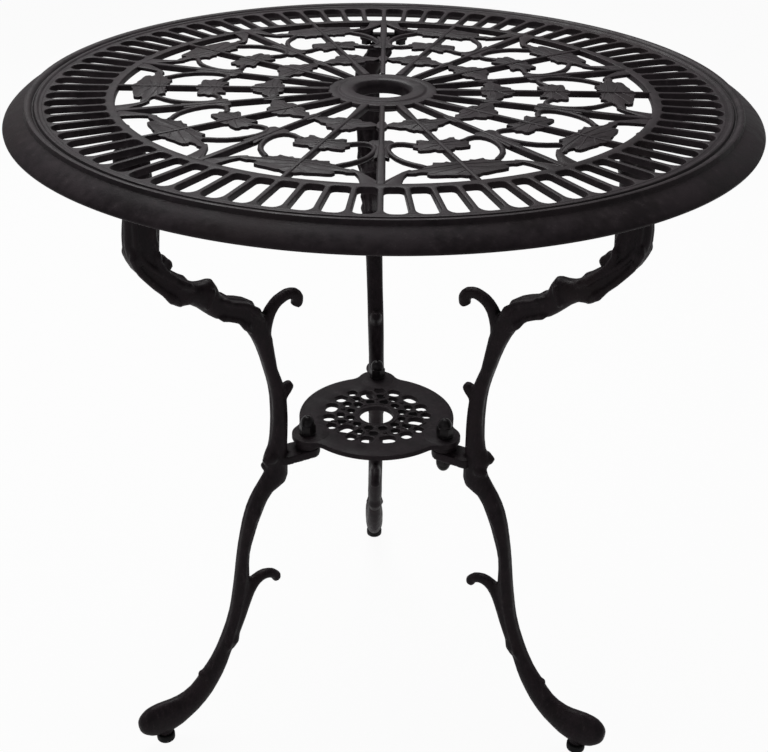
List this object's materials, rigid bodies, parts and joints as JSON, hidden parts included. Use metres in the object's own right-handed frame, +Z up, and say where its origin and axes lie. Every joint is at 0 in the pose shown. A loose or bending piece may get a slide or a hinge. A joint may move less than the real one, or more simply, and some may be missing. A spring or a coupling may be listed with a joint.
{
  "type": "umbrella table",
  "caption": "Round cast-metal bistro table with a pierced leaf-pattern top, a hole for an umbrella pole, branch-shaped legs, a small tie shelf and screw-in foot glides.",
  "frame": {"origin": "on the floor, below the centre of the top", "axes": "+Z up along the umbrella pole; the single rear leg stands on +Y, the other two at 120 degrees each side"},
  "size_m": [0.6609, 0.661, 0.6662],
  "materials": {
    "casting": "satin",
    "fastener": "satin",
    "steel": "satin",
    "glide": "matte"
  },
  "bodies": {
    "table": {"table_top": "casting", "leg_rear": "casting", "leg_front_left": "casting", "leg_front_right": "casting", "lower_shelf": "casting", "shelf_studs": "steel", "shelf_washers": "fastener", "shelf_cap_nuts": "fastener", "lower_cap_nut": "fastener", "top_screws": "fastener"},
    "glide_rear": {"glide_pad_rear": "glide", "glide_stud_rear": "steel"},
    "glide_front_left": {"glide_pad_front_left": "glide", "glide_stud_front_left": "steel"},
    "glide_front_right": {"glide_pad_front_right": "glide", "glide_stud_front_right": "steel"}
  },
  "joints": [
    {"name": "glide_rear_turn", "type": "hinge", "parent": "table", "child": "glide_rear", "pos_m": [0, 0.248, 0.0085], "axis": [0, 0, 1], "range_deg": [0, 1800]},
    {"name": "glide_front_left_turn", "type": "hinge", "parent": "table", "child": "glide_front_left", "pos_m": [-0.21477, -0.124, 0.0085], "axis": [0, 0, 1], "range_deg": [0, 1800]},
    {"name": "glide_front_right_turn", "type": "hinge", "parent": "table", "child": "glide_front_right", "pos_m": [0.21477, -0.124, 0.0085], "axis": [0, 0, 1], "range_deg": [0, 1800]}
  ]
}
